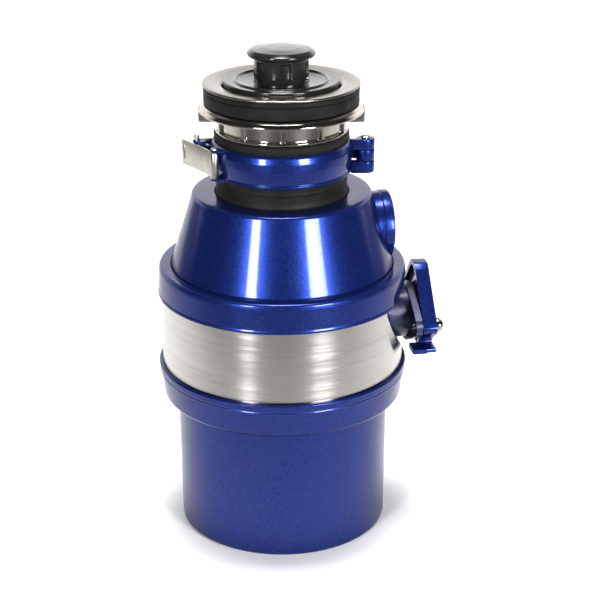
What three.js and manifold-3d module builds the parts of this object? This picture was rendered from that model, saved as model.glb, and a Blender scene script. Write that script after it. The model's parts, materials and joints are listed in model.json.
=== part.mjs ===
// Food waste disposer with its sink fittings, millimetres, +Z up.
// The axis of the motor is Z, the underside of the motor housing is z = 0 and
// both water connections (discharge and dishwasher inlet) point along +X.
import * as THREE from "three";
import { mergeVertices } from "three/addons/utils/BufferGeometryUtils.js";
import Module from "manifold-3d";

const wasm = await Module();
wasm.setup();
const { Manifold, Mesh: Body } = wasm;

// ---------------------------------------------------------------- dimensions
const GAP = 0.4; // between pieces that touch
const RING = 32; // sides of the large turned pieces

const FLANGE_R = 57.15; // sink flange, 4 1/2 in across
const TOP_Z = 345.1; // top of the sink flange
const TUBE_R = 44.0; // threaded tube of the sink flange
const TUBE_BORE = 42.4;
const STOPPER_TOP = 370.3;

const CUP_R0 = 79.2; // motor housing at the floor
const CUP_R1 = 80.2; // motor housing under the lower collar
const CUP_WALL = 2.8;
const FLOOR = 4.0;

const LOWER_COLLAR_Z = [105.5, 132.0];
const BAND_R = [90.0, 91.0];
const BAND_Z = [128.1, 190.0];
const UPPER_COLLAR_Z = [186.4, 208.5];
const CONE_TOP_Z = 264.0;
const CONE_MOUTH_R = 49.4;

const OUTLET_Z = 161.0; // centre of the discharge
const OUTLET_BORE_R = 16.0;
const NECK_R = 20.0;
const NECK_END_X = 100.0;
const BOLT_Y = 33.0; // discharge bolts, either side of the bore
const FLANGE_X = [103.2, 111.0]; // web of the discharge flange

const INLET_Z = 232.5; // centre of the dishwasher inlet
const INLET_R = 26.0;
const INLET_BORE_R = 11.0;
const INLET_END_X = 81.0;

const CLAMP_TURN = -10; // clamp hinge and nut wings, degrees round from +X
const CLAMP_Z = [279.4, 303.1];
const HINGE_X = 61.0; // hinge pin, before CLAMP_TURN
const LATCH_PIVOT = [-47.6, -29.2];
const KEEPER = [-62.0, 5.0];

const SHAFT_R = 6.0;
const CORE_R = 48.6;
const MAGNET_R = [50.2, 57.5];
const YOKE_R = [57.9, 61.0];
const GRIND_RING_R = [69.0, 74.5];
const TURNTABLE_R = 67.2;
const IMPELLER_X = 44.0;

// ---------------------------------------------------------------- helpers
function toBody(geometry) {
  let g = geometry.clone();
  g.deleteAttribute("normal");
  g.deleteAttribute("uv");
  g = mergeVertices(g, 1e-4);
  const p = g.attributes.position.array;
  const i = g.index.array;
  const keep = [];
  let six = 0;
  for (let n = 0; n < i.length; n += 3) {
    const [a, b, c] = [i[n], i[n + 1], i[n + 2]];
    if (a === b || b === c || a === c) continue;
    keep.push(a, b, c);
    const [A, B, C] = [a, b, c].map((k) => new THREE.Vector3(p[3 * k], p[3 * k + 1], p[3 * k + 2]));
    six += A.dot(B.clone().cross(C));
  }
  if (six < 0) for (let n = 0; n < keep.length; n += 3) [keep[n], keep[n + 1]] = [keep[n + 1], keep[n]];
  return new Manifold(new Body({ numProp: 3, vertProperties: new Float32Array(p), triVerts: new Uint32Array(keep) }));
}

function lathe(profile, sides = RING, z = 0) {
  const points = profile.map(([r, h]) => new THREE.Vector2(r, h + z));
  points.push(points[0].clone());
  const g = new THREE.LatheGeometry(points, sides);
  g.rotateX(Math.PI / 2);
  return toBody(g);
}

function extrude(outline, z0, z1, holes = []) {
  const shape = new THREE.Shape(outline.map(([x, y]) => new THREE.Vector2(x, y)));
  for (const h of holes) shape.holes.push(new THREE.Path(h.map(([x, y]) => new THREE.Vector2(x, y))));
  const g = new THREE.ExtrudeGeometry(shape, { depth: z1 - z0, bevelEnabled: false, curveSegments: 1 });
  g.translate(0, 0, z0);
  return toBody(g);
}

// outline in (y, z), pushed along X
function extrudeX(outline, x0, x1) {
  const shape = new THREE.Shape(outline.map(([y, z]) => new THREE.Vector2(y, z)));
  const g = new THREE.ExtrudeGeometry(shape, { depth: x1 - x0, bevelEnabled: false, curveSegments: 1 });
  g.applyMatrix4(new THREE.Matrix4().set(0, 0, 1, x0, 1, 0, 0, 0, 0, 1, 0, 0, 0, 0, 0, 1));
  return toBody(g);
}

function box(x0, x1, y0, y1, z0, z1) {
  const g = new THREE.BoxGeometry(x1 - x0, y1 - y0, z1 - z0);
  g.translate((x0 + x1) / 2, (y0 + y1) / 2, (z0 + z1) / 2);
  return toBody(g);
}

const circle = (cx, cy, r, n, a0 = 0) =>
  Array.from({ length: n }, (_, k) => [
    cx + r * Math.cos(a0 + (2 * Math.PI * k) / n),
    cy + r * Math.sin(a0 + (2 * Math.PI * k) / n),
  ]);

const post = (cx, cy, r, z0, z1, n = 12) => extrude(circle(cx, cy, r, n), z0, z1);
const rod = (cy, cz, r, x0, x1, n = 24) => extrudeX(circle(cy, cz, r, n), x0, x1);
const union = (list) => list.reduce((a, b) => a.add(b));
const cut = (a, list) => list.reduce((s, b) => s.subtract(b), a);
const rad = (d) => (d * Math.PI) / 180;
const polar = (r, deg) => [r * Math.cos(rad(deg)), r * Math.sin(rad(deg))];
const turned = (m, deg) => m.rotate([0, 0, deg]);

// n copies of a solid about Z
const spread = (m, n, start = 0) => Array.from({ length: n }, (_, k) => turned(m, start + (360 * k) / n));

const group = new THREE.Group();
group.name = "food_waste_disposer";
function node(name, body, colour, roughness, metalness) {
  const m = body.getMesh();
  const g = new THREE.BufferGeometry();
  g.setAttribute("position", new THREE.BufferAttribute(new Float32Array(m.vertProperties), 3));
  g.setIndex(new THREE.BufferAttribute(new Uint32Array(m.triVerts), 1));
  const flat = g.toNonIndexed();
  flat.computeVertexNormals();
  const mesh = new THREE.Mesh(flat, new THREE.MeshStandardMaterial({ color: colour, roughness, metalness }));
  mesh.name = name;
  group.add(mesh);
}
const BLUE = 0x1b3a8c;
const DARK = 0x191b1f;
const STEEL = 0xb9bcc0;
const CHROME = 0xd6d9dc;
const BRASS = 0xb5893f;
const COPPER = 0xb86b3a;

// ---------------------------------------------------------------- stopper
// Cover with a hollow fluted post and a domed knob; its seal rests on the ledge of the flange.
{
  let cover = lathe([
    [15.6, 336.0], [38.0, 336.0], [38.0, 339.6], [41.7, 339.6], [41.7, 343.0], [33.7, 344.8], [32.2, 346.0],
    [30.2, 344.6], [19.8, 337.8], [19.8, 363.6], [24.7, 365.0], [24.7, 367.1], [20.0, 369.4],
    [0, STOPPER_TOP], [0, 366.6], [15.6, 366.6],
  ], 24);
  const flute = box(17.9, 24, -3.6, 3.6, 341.5, 361.0);
  cover = cut(cover, spread(flute, 6, 30));
  node("stopper", cover, DARK, 0.45, 0);
}
node("stopper_seal", lathe([
  [38.5, 334.6], [41.3, 334.6], [41.9, 336.0], [41.9, 339.2], [38.5, 339.2],
], 24), DARK, 0.8, 0);

// ---------------------------------------------------------------- sink fittings
node("sink_flange", lathe([
  [TUBE_R, 285.2], [TUBE_R, 342.4], [45.2, 343.4], [FLANGE_R, 343.4], [FLANGE_R, 344.6],
  [56.5, TOP_Z], [53.6, TOP_Z], [44.0, 344.1], [TUBE_BORE, 342.2], [TUBE_BORE, 334.2],
  [38.8, 334.2], [38.8, 332.4], [TUBE_BORE, 332.4], [TUBE_BORE, 285.2],
]), STEEL, 0.3, 1);
node("sink_gasket_upper", lathe([[44.5, 339.5], [56.6, 339.5], [56.6, 343.0], [46.5, 343.0], [44.5, 341.6]]), DARK, 0.85, 0);
node("sink_gasket_lower", lathe([[44.5, 330.4], [56.3, 330.4], [56.3, 339.1], [44.5, 339.1]]), DARK, 0.85, 0);

// Hand-tightened nut: fluted skirt, wide flange and two wings.
{
  let nut = lathe([
    [44.5, 309.5], [48.3, 309.5], [47.9, 322.4], [51.0, 323.8], [60.2, 324.9], [60.2, 326.4], [58.8, 328.8],
    [56.4, 330.0], [44.5, 330.0],
  ]);
  nut = cut(nut, spread(post(51.4, 0, 4.4, 312.4, 322.6, 8), 12, 15));
  const wing = box(46.0, 60.4, -4.5, 4.5, 315.8, 325.6);
  node("mounting_nut", nut.add(turned(wing, CLAMP_TURN)).add(turned(wing, CLAMP_TURN + 180)), CHROME, 0.15, 1);
}

// ---------------------------------------------------------------- cushion, baffle and clamp
node("cushion_mount", lathe([
  [40.2, 251.0], [60.6, 252.8], [60.6, 259.0], [48.9, 259.0], [48.9, 265.0], [48.2, 269.0], [48.3, 282.2],
  [49.4, 283.8], [49.4, 299.2], [48.5, 300.8], [48.5, 303.6], [49.3, 304.3], [49.3, 309.0],
  [44.5, 309.0], [44.5, 281.6], [40.2, 281.6],
]), DARK, 0.85, 0);
{
  let guard = lathe([[8.5, 273.6], [33.0, 282.1], [43.9, 282.1], [43.9, 284.8], [32.6, 284.8], [8.5, 276.2]]);
  guard = cut(guard, spread(box(6.0, 31.0, -0.7, 0.7, 270, 290), 6, 22.5));
  node("splash_guard", guard, DARK, 0.85, 0);
}

const clampRing = lathe([
  [48.9, CLAMP_Z[0]], [51.0, CLAMP_Z[0]], [51.0, 281.4], [51.5, 287.0], [52.0, 292.5], [51.7, 298.0], [50.9, 301.4],
  [49.7, CLAMP_Z[1]], [48.9, CLAMP_Z[1]], [48.9, 301.4], [49.9, 299.8], [49.9, 283.2], [48.9, 281.6],
]);
const frontCut = box(-80, 80, -80, -0.5, 270, 310);
const rearCut = box(-80, 80, 0.5, 80, 270, 310);
const hingeKnuckle = (side, z0, z1) => {
  const y0 = side < 0 ? -6.8 : 0.8;
  return post(HINGE_X, 0, 6.8, z0, z1, 12)
    .add(box(50.4, HINGE_X, y0, y0 + 6.0, z0, z1))
    .subtract(post(HINGE_X, 0, 2.7, z0 - 1, z1 + 1, 10));
};
const bore = (c, r, z0, z1) => post(c[0], c[1], r, z0, z1, 10);
{
  // front half: upper and lower hinge knuckles, ears for the latch pivot
  const ear = (z0, z1) => {
    const a = polar(50.6, 211.5 - 7), b = polar(50.6, 211.5 + 7);
    return extrude([a, [LATCH_PIVOT[0] - 2.0, LATCH_PIVOT[1] + 2.6], [LATCH_PIVOT[0] - 2.9, LATCH_PIVOT[1] - 0.4], [LATCH_PIVOT[0] - 0.4, LATCH_PIVOT[1] - 2.9], [LATCH_PIVOT[0] + 2.4, LATCH_PIVOT[1] - 1.9], b], z0, z1);
  };
  let front = clampRing.intersect(frontCut);
  front = union([front, hingeKnuckle(-1, CLAMP_Z[0] - 1.4, 286.8), hingeKnuckle(-1, 295.6, CLAMP_Z[1])]);
  front = union([front, ear(279.6, 281.2), ear(300.6, 302.2)]);
  front = front.subtract(bore(LATCH_PIVOT, 1.6, 270, 310));
  front = front.add(box(-57.6, -50.6, -6.2, -0.8, 284.0, 298.6)).add(post(-57.4, -3.5, 2.7, 284.0, 301.5, 12));
  front = front.subtract(lathe([[0, 283.5], [49.9, 283.5], [49.9, 299.5], [0, 299.5]]));
  node("clamp_front_half", turned(front, CLAMP_TURN), BLUE, 0.35, 0.6);

  // rear half: middle knuckle and the lug that carries the keeper pin
  let rear = clampRing.intersect(rearCut);
  rear = union([rear, hingeKnuckle(1, 287.2, 295.2)]);
  const lug = (z0, z1) => extrude([[-49.5, 10.6], [-63.5, 8.2], [-65.2, 5.4], [-64.2, 2.4], [-61.6, 1.6], [-51.0, 1.0]], z0, z1);
  rear = union([rear, lug(282.0, 284.0), lug(298.0, 300.0), box(-53.4, -50.2, 1.0, 9.0, 282.0, 300.0)]);
  rear = rear.subtract(bore(KEEPER, 2.4, 270, 310));
  rear = rear.subtract(lathe([[0, 281.0], [49.9, 283.2], [49.9, 299.5], [0, 301.0]].map(([r, z]) => [r, z])));
  node("clamp_rear_half", turned(rear, CLAMP_TURN), BLUE, 0.35, 0.6);
}
node("clamp_hinge_pin", turned(lathe([[0, 276.6], [2.0, 276.6], [2.2, 277.0], [2.2, 303.6], [3.6, 303.6], [3.4, 305.2], [0, 305.8]], 12).translate([HINGE_X, 0, 0]), CLAMP_TURN), STEEL, 0.3, 1);
node("latch_keeper_pin", turned(lathe([[0, 280.4], [2.0, 280.4], [2.0, 304.0], [0, 304.0]], 12).translate([KEEPER[0], KEEPER[1], 0]), CLAMP_TURN), STEEL, 0.3, 1);
node("latch_pivot_pin", turned(lathe([[0, 278.4], [1.2, 278.4], [1.2, 302.6], [2.4, 302.6], [2.2, 303.6], [0, 304.0]], 12).translate([LATCH_PIVOT[0], LATCH_PIVOT[1], 0]), CLAMP_TURN), STEEL, 0.3, 1);
{
  // latch: bent strap curled round the pivot, a hook behind the keeper pin, and a finger tab
  const T = 1.5;
  const path = [[-47.2, -32.0], [-56.4, -16.6], [-73.2, 6.6]];
  const n = [];
  for (let k = 0; k < 2; k++) {
    const d = [path[k + 1][0] - path[k][0], path[k + 1][1] - path[k][1]];
    const l = Math.hypot(...d);
    n.push([d[1] / l, -d[0] / l]); // towards the clamp
  }
  const off = (p, v) => [p[0] + v[0] * T, p[1] + v[1] * T];
  const mid = [(n[0][0] + n[1][0]) / 2, (n[0][1] + n[1][1]) / 2];
  const strap = extrude([path[0], path[1], path[2], off(path[2], n[1]), off(path[1], mid), off(path[0], n[0])].reverse(), 281.6, 300.2);
  let lever = strap.add(post(LATCH_PIVOT[0], LATCH_PIVOT[1], 2.9, 281.6, 300.2, 14));
  // the hook sits on the far side of the keeper, seen from the pivot
  const r = Math.hypot(KEEPER[0] - LATCH_PIVOT[0], KEEPER[1] - LATCH_PIVOT[1]);
  const u = [(KEEPER[0] - LATCH_PIVOT[0]) / r, (KEEPER[1] - LATCH_PIVOT[1]) / r];
  const v = [u[1], -u[0]]; // across, towards the clamp
  const at = (a, b) => [LATCH_PIVOT[0] + u[0] * a + v[0] * b, LATCH_PIVOT[1] + u[1] * a + v[1] * b];
  const hook = extrude([at(r + 2.6, 2.6), at(r + 5.0, 1.6), at(r + 6.0, -9.5), at(r + 2.6, -9.5)].reverse(), 286.0, 296.0);
  lever = lever.add(hook).subtract(post(LATCH_PIVOT[0], LATCH_PIVOT[1], 1.6, 270, 310, 12));
  node("latch_lever", turned(lever, CLAMP_TURN), STEEL, 0.28, 1);
}

// Three long bolts hold motor housing, discharge body and hopper together.
const BOLT_CIRCLE = 85.4;
const boltAngles = [60, 180, 300];
function boltHoles(z0, z1) {
  return boltAngles.map((a) => { const p = polar(BOLT_CIRCLE, a); return post(p[0], p[1], 2.1, z0, z1, 8); });
}

// ---------------------------------------------------------------- hopper
{
  const skin = [
    [89.5, 195.4], [89.5, 201.0], [82.7, 201.0], [82.7, 209.4], [67.4, 258.8], [65.6, 262.8],
    [62.8, CONE_TOP_Z],
  ];
  let hopper = lathe([...skin, [0, CONE_TOP_Z], [0, 195.4]]);
  const boss = [[0, 55], [INLET_R, 55], [INLET_R, INLET_END_X - 1.2], [INLET_R - 1.2, INLET_END_X], [0, INLET_END_X]];
  hopper = hopper.add(lathe(boss, 24).rotate([0, 90, 0]).translate([0, 0, INLET_Z]));
  const inside = lathe([
    [0, 190], [75.0, 190], [75.0, 214.5], [70.6, 214.5], [70.6, 217.5], [74.6, 219.8], [63.0, 259.4],
    [CONE_MOUTH_R, 259.4], [CONE_MOUTH_R, 270], [0, 270],
  ]);
  hopper = cut(hopper, [inside, rod(0, INLET_Z, INLET_BORE_R, 50, 90, 16)]);
  hopper = cut(hopper, boltHoles(190, 204));
  node("upper_housing", hopper, BLUE, 0.35, 0.6);
}
// knock-out plug of the dishwasher inlet
node("inlet_plug", rod(0, INLET_Z, INLET_BORE_R - GAP, 71.6, 75.2, 16), DARK, 0.6, 0);

{
  let collar = lathe([
    [91.3, UPPER_COLLAR_Z[0]], [93.4, UPPER_COLLAR_Z[0]], [93.0, 189.0], [92.3, 205.4],
    [89.9, UPPER_COLLAR_Z[1]], [83.1, UPPER_COLLAR_Z[1]], [83.1, 204.8], [89.9, 204.8], [89.9, 190.4], [91.3, 190.4],
  ]);
  collar = collar.subtract(radialCut([[66, 184], [66, 186.2], [60, 191.6], [48, 195.2], [28, 198.2], [0, 199.2]], [0, 184]));
  node("upper_collar", collar, BLUE, 0.35, 0.6);
}
{
  let band = lathe([[BAND_R[0], BAND_Z[0]], [BAND_R[1], BAND_Z[0]], [BAND_R[1], BAND_Z[1]], [BAND_R[0], BAND_Z[1]]]);
  band = band.subtract(radialCut([[70, 194], [68, 184], [62.5, 174], [56, 165], [46, 154], [32, 144], [14, 138], [0, 136.8]], [0, 194]));
  node("trim_band", band, STEEL, 0.3, 1);
}
// straight-sided cutter along +X from a half outline in (y, z)
function radialCut(half, close) {
  const s = half.map(([a, z]) => [91 * Math.sin(Math.min(a / 91, 1.2)), z]);
  const pts = [...s, ...s.slice().reverse().filter(([y]) => y > 0.01).map(([y, z]) => [-y, z])];
  return extrudeX(pts, 30, 120);
}
node("lower_collar", lathe([
  [80.7, LOWER_COLLAR_Z[0]], [90.0, LOWER_COLLAR_Z[0]], [92.7, 124.2], [93.5, 125.0], [94.0, 131.0],
  [93.3, LOWER_COLLAR_Z[1]], [91.4, LOWER_COLLAR_Z[1]], [91.4, 127.7], [89.9, 127.7], [87.7, 108.4], [80.7, 108.4],
]), BLUE, 0.35, 0.6);

// ---------------------------------------------------------------- discharge body
{
  let mid = lathe([
    [74.0, 127.8], [89.5, 127.8], [89.5, 131.8], [82.0, 131.8], [82.0, 187.0], [89.5, 187.0], [89.5, 195.0],
    [71.0, 195.0], [71.0, 192.0], [77.6, 188.4], [77.6, 144.5], [17.0, 144.5], [17.0, 164.0], [12.4, 164.0],
    [12.4, 132.0], [17.0, 132.0], [17.0, 138.6], [78.6, 138.6], [78.6, 131.8], [74.0, 131.8],
  ]);
  const ears = extrudeX(earOutline(8.0, 23.0), NECK_END_X - 5.0, NECK_END_X);
  mid = mid.add(rod(0, OUTLET_Z, NECK_R, 78.5, NECK_END_X, 24)).add(ears);
  mid = cut(mid, [
    rod(0, OUTLET_Z, OUTLET_BORE_R, 60, 110, 20),
    ...[-1, 1].map((s) => rod(s * BOLT_Y, OUTLET_Z, 2.9, 80, 110, 10)),
    ...boltHoles(120, 200),
  ]);
  node("discharge_body", mid, 0x20222c, 0.5, 0.3);
}
// the two bolt ears joined across the bore, rounded ends
function earOutline(r, rc) {
  const pts = [];
  const tangent = Math.acos((rc - r) / BOLT_Y);
  const arc = (cy, radius, a0, a1, n) => {
    for (let k = 0; k <= n; k++) {
      const a = a0 + ((a1 - a0) * k) / n;
      pts.push([cy + radius * Math.cos(a), OUTLET_Z + radius * Math.sin(a)]);
    }
  };
  arc(BOLT_Y, r, -tangent, tangent, 6);
  arc(0, rc, tangent, Math.PI - tangent, 6);
  arc(-BOLT_Y, r, Math.PI - tangent, Math.PI + tangent, 6);
  arc(0, rc, Math.PI + tangent, 2 * Math.PI - tangent, 6);
  return pts;
}
{
  const gasket = rod(0, OUTLET_Z, 18.6, NECK_END_X + GAP, FLANGE_X[0] - GAP, 24).subtract(rod(0, OUTLET_Z, OUTLET_BORE_R + 0.3, 90, 120, 20));
  node("discharge_gasket", gasket, DARK, 0.85, 0);
}
// flange that presses the drain elbow against the gasket: web with a deep rim and a foot
{
  const half = [[0, 40], [5.2, 39.4], [9.6, 36.4], [38.8, 3.6], [40.8, 0.8], [40.9, -2.2], [39.0, -5.0], [26.2, -14.4], [24.6, -16.6], [38.6, -17.0], [38.8, -20.6]];
  const ring = (s, dz = 0) => {
    const right = half.map(([y, z]) => [y * s, z * s + dz + OUTLET_Z]);
    const left = right.slice(1).reverse().map(([y, z]) => [-y, z]);
    return [...right, ...left];
  };
  let plate = extrudeX(ring(1), FLANGE_X[0] - 2.6, FLANGE_X[1]);
  const pocket = [[0, 36.8], [3.8, 36.2], [7.6, 33.4], [36.2, 1.2], [37.0, -0.6], [36.4, -2.6], [23.6, -12.2], [21.6, -14.6], [20.4, -18.9]];
  const right = pocket.map(([y, z]) => [y, z + OUTLET_Z]);
  const pocketAll = [...right, ...right.slice(1).reverse().map(([y, z]) => [-y, z])];
  plate = plate.subtract(extrudeX(pocketAll, FLANGE_X[0] - 3, FLANGE_X[0]));
  plate = cut(plate, [
    rod(0, OUTLET_Z, OUTLET_BORE_R + 0.2, 90, 120, 20),
    ...[-1, 1].map((s) => rod(s * BOLT_Y, OUTLET_Z, 2.9, 90, 120, 10)),
  ]);
  for (const s of [-1, 1]) plate = plate.add(box(93.4, FLANGE_X[0], Math.min(s * 23.6, s * 38.8), Math.max(s * 23.6, s * 38.8), OUTLET_Z - 20.6, OUTLET_Z - 17.1));
  node("discharge_flange", plate, BLUE, 0.35, 0.6);
}
const boltX = (y) => {
  const prof = [[0, 93.0], [2.0, 93.0], [2.5, 93.6], [2.5, FLANGE_X[1] + GAP], [5.6, FLANGE_X[1] + GAP], [5.6, FLANGE_X[1] + 2.8], [4.4, FLANGE_X[1] + 4.8], [0, FLANGE_X[1] + 5.6]];
  return lathe(prof, 12).rotate([0, 90, 0]).translate([0, y, OUTLET_Z]);
};
node("discharge_bolt_front", boltX(-BOLT_Y), CHROME, 0.2, 1);
node("discharge_bolt_rear", boltX(BOLT_Y), CHROME, 0.2, 1);

boltAngles.forEach((a, k) => {
  const p = polar(BOLT_CIRCLE, a);
  node(`through_bolt_${k + 1}`, lathe([[0, 120.8], [3.0, 120.8], [3.0, 123.6], [1.7, 123.6], [1.7, 204.0], [0, 204.0]], 8).translate([p[0], p[1], 0]), STEEL, 0.35, 1);
});

// ---------------------------------------------------------------- grinding parts
{
  let ring = lathe([[GRIND_RING_R[0], 195.5], [GRIND_RING_R[1], 195.5], [GRIND_RING_R[1], 214.0], [GRIND_RING_R[0], 214.0]]);
  ring = cut(ring, spread(box(66, 71.6, -1.8, 1.8, 190, 206), 16, 11.25));
  node("grind_ring", ring, STEEL, 0.35, 1);
}
{
  let table = lathe([
    [SHAFT_R + 0.3, 188.0], [11.0, 188.0], [14.0, 197.6], [TURNTABLE_R, 197.6], [TURNTABLE_R, 200.0],
    [SHAFT_R + 0.3, 200.0],
  ]);
  const holes = [60, 120, 240, 300].map((a) => { const p = polar(50, a); return post(p[0], p[1], 3.4, 190, 205, 8); });
  table = cut(table, [...holes, post(IMPELLER_X, 0, 2.9, 190, 205, 12), post(-IMPELLER_X, 0, 2.9, 190, 205, 12)]);
  node("turntable", table, STEEL, 0.3, 1);
}
const impeller = () => {
  const outline = [[-7, 6], [0, 8], [14, 6.5], [19, 4.5], [19, -4.5], [14, -6.5], [0, -8], [-7, -6]];
  return extrude(outline, 200.4, 203.0)
    .add(extrude([[8.5, 6.2], [19, 4.5], [19, -4.5], [8.5, -6.2]].reverse(), 202.8, 213.6))
    .subtract(post(0, 0, 2.9, 195, 220, 12))
    .translate([IMPELLER_X, 0, 0]);
};
node("impeller_a", impeller(), STEEL, 0.3, 1);
node("impeller_b", turned(impeller(), 180), STEEL, 0.3, 1);
const rivet = () => lathe([[0, 194.8], [4.4, 194.8], [4.4, 197.2], [2.5, 197.2], [2.5, 203.4], [5.0, 203.4], [4.2, 205.2], [0, 205.8]], 12).translate([IMPELLER_X, 0, 0]);
node("impeller_rivet_a", rivet(), STEEL, 0.3, 1);
node("impeller_rivet_b", turned(rivet(), 180), STEEL, 0.3, 1);
node("turntable_nut", extrude(circle(0, 0, 9.0, 6), 200.4, 205.6).subtract(post(0, 0, 5.3, 195, 210, 12)), BRASS, 0.35, 1);

// ---------------------------------------------------------------- motor
node("rotor_shaft", lathe([[0, 26.0], [SHAFT_R, 26.0], [SHAFT_R, 199.6], [4.9, 200.0], [4.9, 208.6], [0, 208.6]], 16), STEEL, 0.25, 1);
node("shaft_seal", lathe([[SHAFT_R + 0.4, 153.2], [12.0, 153.2], [12.0, 163.4], [9.0, 163.4], [SHAFT_R + 0.4, 160.4]], 16), DARK, 0.8, 0);
node("upper_bearing", lathe([[SHAFT_R + 0.4, 133.0], [12.0, 133.0], [12.0, 152.6], [SHAFT_R + 0.4, 152.6]], 16), BRASS, 0.35, 1);
node("lower_bearing", lathe([[SHAFT_R + 0.4, 24.6], [10.4, 24.6], [10.4, 35.6], [SHAFT_R + 0.4, 35.6]], 16), BRASS, 0.35, 1);
{
  const pocket = [35, 125, 215, 305].map((a) => turned(extrude([[20, -9], [50, -17], [50, 17], [20, 9]], 20, 40), a));
  const plate = lathe([[10.8, 24.0], [15.0, 24.0], [15.0, 28.0], [YOKE_R[1], 28.0], [YOKE_R[1], 32.0], [15.0, 32.0], [15.0, 36.0], [10.8, 36.0]]);
  node("lower_bracket", cut(plate, pocket), 0x9a9da2, 0.5, 1);
}
node("motor_yoke", lathe([[YOKE_R[0], 32.4], [YOKE_R[1], 32.4], [YOKE_R[1], 138.2], [YOKE_R[0], 138.2]]), 0x6a6d72, 0.5, 1);
const arcOutline = (r0, r1, half, n) => {
  const p = [];
  for (let k = 0; k <= n; k++) p.push(polar(r1, -half + (2 * half * k) / n));
  for (let k = n; k >= 0; k--) p.push(polar(r0, -half + (2 * half * k) / n));
  return p;
};
[0, 90, 180, 270].forEach((a, k) => node(`magnet_${k + 1}`, turned(extrude(arcOutline(MAGNET_R[0], MAGNET_R[1], 37.5, 10), 56, 118), a), 0x2a2b2e, 0.7, 0));
{
  const slots = Array.from({ length: 12 }, (_, k) => {
    const c = rad(30 * k);
    return [[32.6, -4.6], [45.2, -4.6], [45.2, 4.6], [32.6, 4.6]].map(([x, y]) => [x * Math.cos(c) - y * Math.sin(c), x * Math.sin(c) + y * Math.cos(c)]);
  });
  node("armature_core", extrude(circle(0, 0, CORE_R, 32), 65, 111, [circle(0, 0, SHAFT_R + 0.3, 12), ...slots]), 0x53565a, 0.6, 1);
}
{
  const end = (z0, z1) => lathe([[22, z0], [42, z0], [46, z0 + 4], [46, z1 - 4], [42, z1], [22, z1]], 16);
  const bars = spread(box(33.0, 44.8, -4.2, 4.2, 60, 116), 12);
  node("armature_winding", union([end(53.4, 64.4), end(111.6, 122.6), ...bars]), COPPER, 0.45, 0.8);
}
{
  const drum = lathe([[SHAFT_R + 0.3, 38.0], [15.6, 38.0], [15.6, 50.8], [16.0, 50.8], [16.0, 52.8], [SHAFT_R + 0.3, 52.8]], 16);
  node("commutator", cut(drum, spread(box(14.2, 20, -0.5, 0.5, 37, 50.4), 8, 22.5)), COPPER, 0.35, 1);
}
const brushHolder = () => cut(
  box(18.6, 41.0, -5.4, 5.4, 40.0, 50.4).add(box(24, 38, -7.0, 7.0, 32.4, 40.2)),
  [box(15, 39.4, -4.0, 4.0, 41.4, 49.0)]);
const brush = () => box(16.1, 28.4, -3.6, 3.6, 41.8, 48.6);
const brushSpring = () => {
  const turns = 4, steps = 8, R = 2.6, w = 0.5, x0 = 28.9, x1 = 38.9;
  class Helix extends THREE.Curve {
    getPoint(t, out = new THREE.Vector3()) {
      const a = 2 * Math.PI * turns * t;
      return out.set(x0 + w + (x1 - x0 - 2 * w) * t, R * Math.cos(a), 45.2 + R * Math.sin(a));
    }
  }
  const wire = new THREE.Shape(circle(0, 0, w, 5).map(([x, y]) => new THREE.Vector2(x, y)));
  return toBody(new THREE.ExtrudeGeometry(wire, { steps: turns * steps, bevelEnabled: false, extrudePath: new Helix(), curveSegments: 1 }));
};
["a", "b"].forEach((s, k) => {
  const flip = (m) => turned(m, 90 + 180 * k);
  node(`brush_holder_${s}`, flip(brushHolder()), BRASS, 0.35, 1);
  node(`carbon_brush_${s}`, flip(brush()), 0x222326, 0.8, 0);
  node(`brush_spring_${s}`, flip(brushSpring()), STEEL, 0.3, 1);
});

// ---------------------------------------------------------------- motor housing and base
const COVER = [-50, -8, 12, 50]; // electrical cover in the floor: x0, x1, y0, y1
const CABLE = [-33, 28];
const RESET = [-36, -30];
{
  let cup = lathe([
    [0, 0], [77.6, 0], [CUP_R0, 1.6], [CUP_R1, 98.0], [CUP_R1, 124.0], [89.0, 124.0], [89.0, 127.4],
    [CUP_R1 - CUP_WALL, 127.4], [CUP_R0 - CUP_WALL, FLOOR + 2], [74.6, FLOOR], [0, FLOOR],
  ]);
  cup = cut(cup, [
    box(COVER[0], COVER[1], COVER[2], COVER[3], -1, 2.8),
    box(COVER[0] + 3.5, COVER[1] - 3.5, COVER[2] + 3.5, COVER[3] - 10, 2, 5),
    post(-18, 45.2, 1.8, 0, 6, 8),
    post(RESET[0], RESET[1], 5.0, -1, 6, 12),
    ...boltHoles(120, 130),
  ]);
  node("motor_housing", cup, BLUE, 0.35, 0.6);
}
node("terminal_cover", cut(box(COVER[0] + 0.4, COVER[1] - 0.4, COVER[2] + 0.4, COVER[3] - 0.4, 1.2, 2.4), [
  post(CABLE[0], CABLE[1], 9.4, 0, 6, 16), post(-18, 45.2, 1.8, 0, 6, 8),
]), STEEL, 0.45, 1);
node("terminal_cover_screw", lathe([[0, 0.2], [3.0, 0.2], [3.2, 0.8], [1.4, 0.8], [1.4, 5.6], [0, 5.6]], 12).translate([-18, 45.2, 0]), STEEL, 0.3, 1);
node("cable_bushing", lathe([[6.0, 0.2], [11.2, 0.2], [11.2, 0.8], [9.0, 0.8], [9.0, 2.8], [10.4, 2.8], [9.0, 6.0], [6.0, 6.0]], 16).translate([CABLE[0], CABLE[1], 0]), DARK, 0.5, 0);
node("reset_button", lathe([[0, 1.0], [4.3, 1.0], [4.3, 7.0], [3.2, 7.0], [3.2, 11.0], [0, 11.0]], 12).translate([RESET[0], RESET[1], 0]), 0xb02020, 0.4, 0);
node("overload_protector", cut(box(RESET[0] - 13, RESET[0] + 13, RESET[1] - 10, RESET[1] + 10, FLOOR + GAP, 20), [
  post(RESET[0], RESET[1], 5.0, 0, 10.6, 12), post(RESET[0], RESET[1], 3.8, 10, 15.4, 12),
]), DARK, 0.5, 0);
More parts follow.
